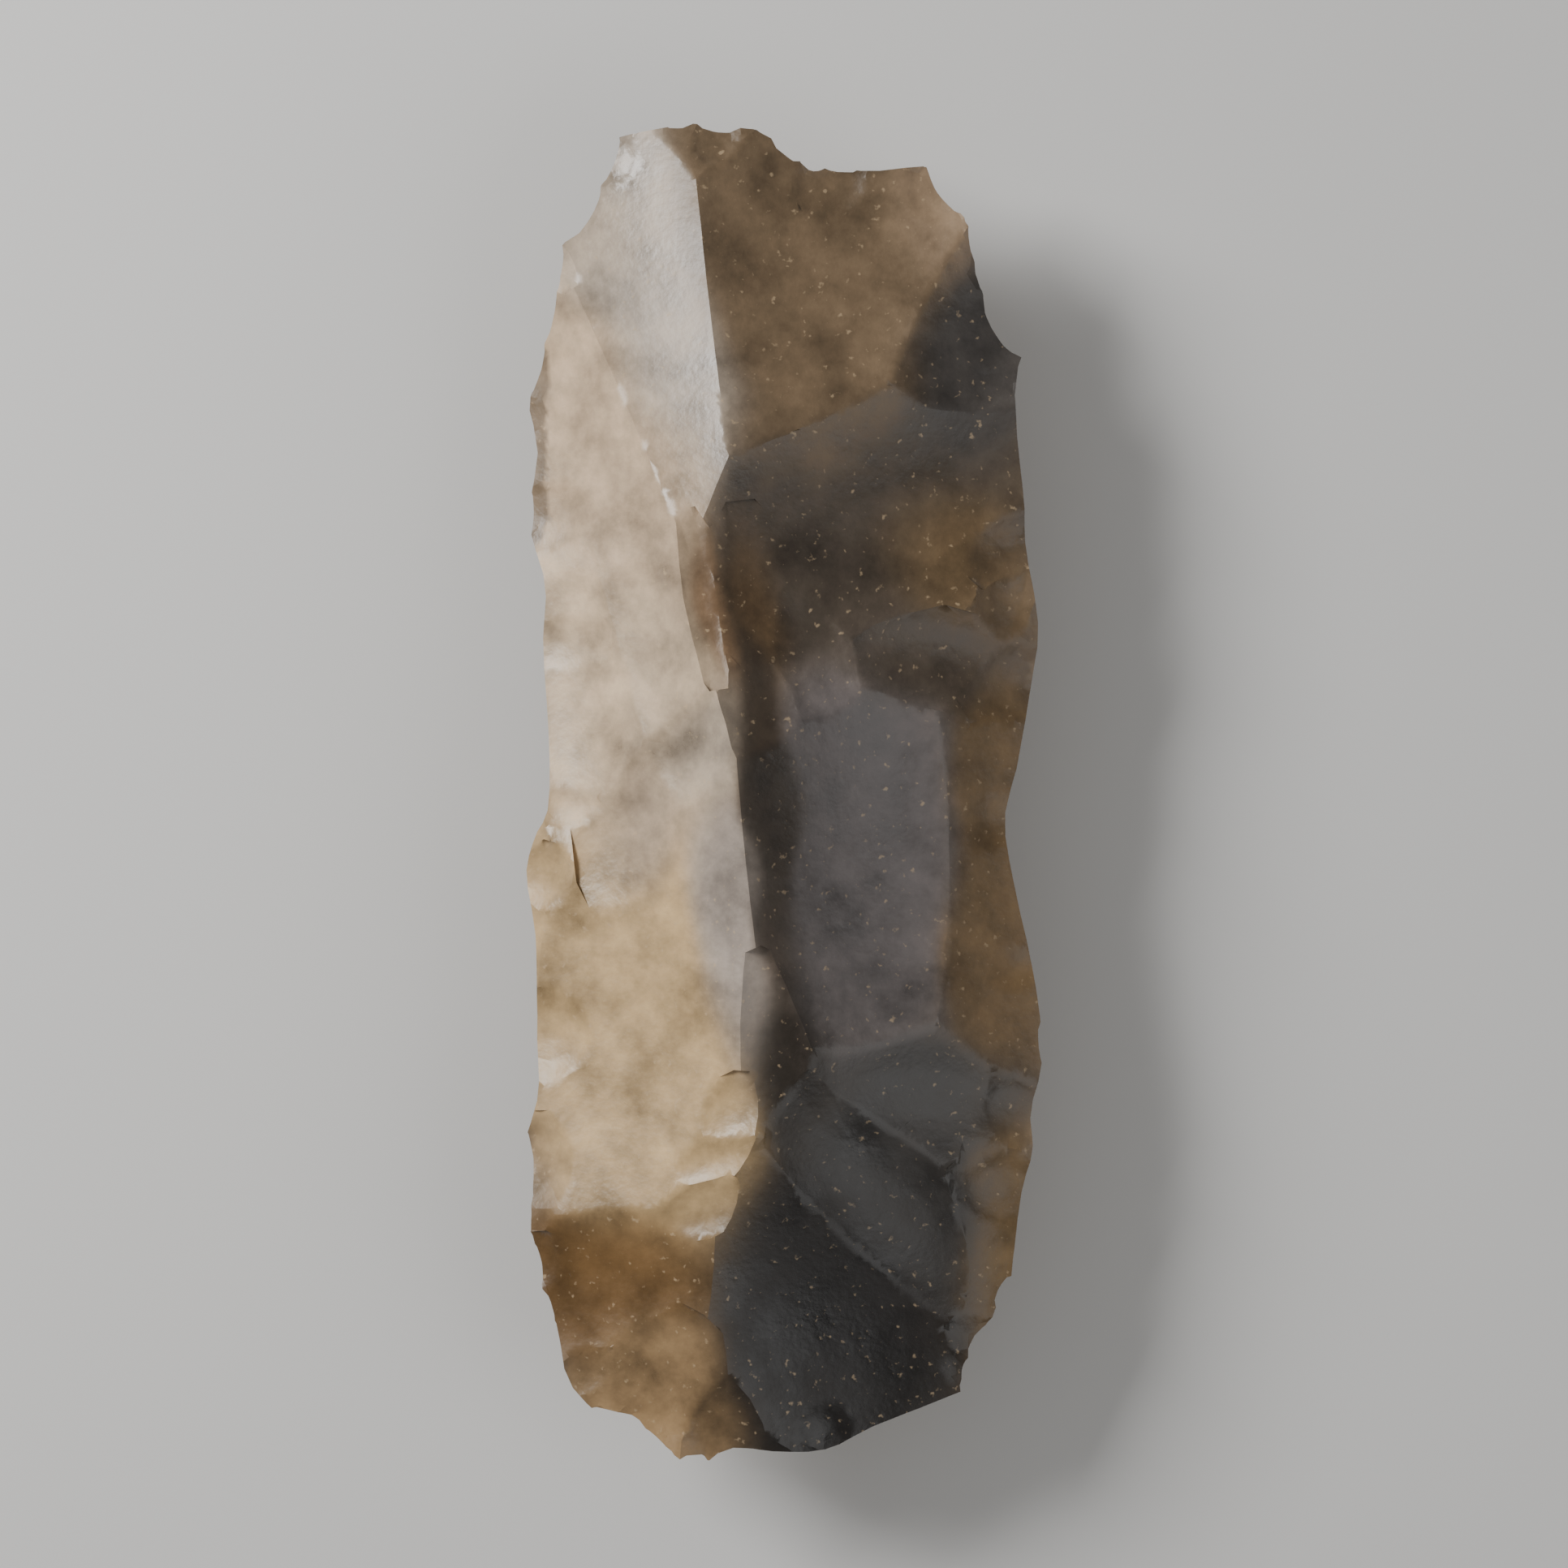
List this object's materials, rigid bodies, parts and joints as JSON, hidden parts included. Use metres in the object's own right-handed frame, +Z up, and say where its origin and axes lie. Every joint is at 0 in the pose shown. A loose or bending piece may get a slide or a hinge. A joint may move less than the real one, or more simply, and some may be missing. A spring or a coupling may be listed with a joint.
{
  "type": "flint axe head",
  "caption": "Long flaked flint axe head with a ridged upper face, dished flake scars on both faces and a sinuous sharp edge all round.",
  "frame": {"origin": "middle of the underside, where the stone rests on its flatter face", "axes": "+Y along the stone towards the cutting edge, +X across it, +Z up through its crest"},
  "size_m": [0.0636, 0.1642, 0.0365],
  "materials": {
    "flint": "flaked, glossy to satin"
  },
  "bodies": {
    "root": {"axe_head": "flint"}
  },
  "joints": []
}
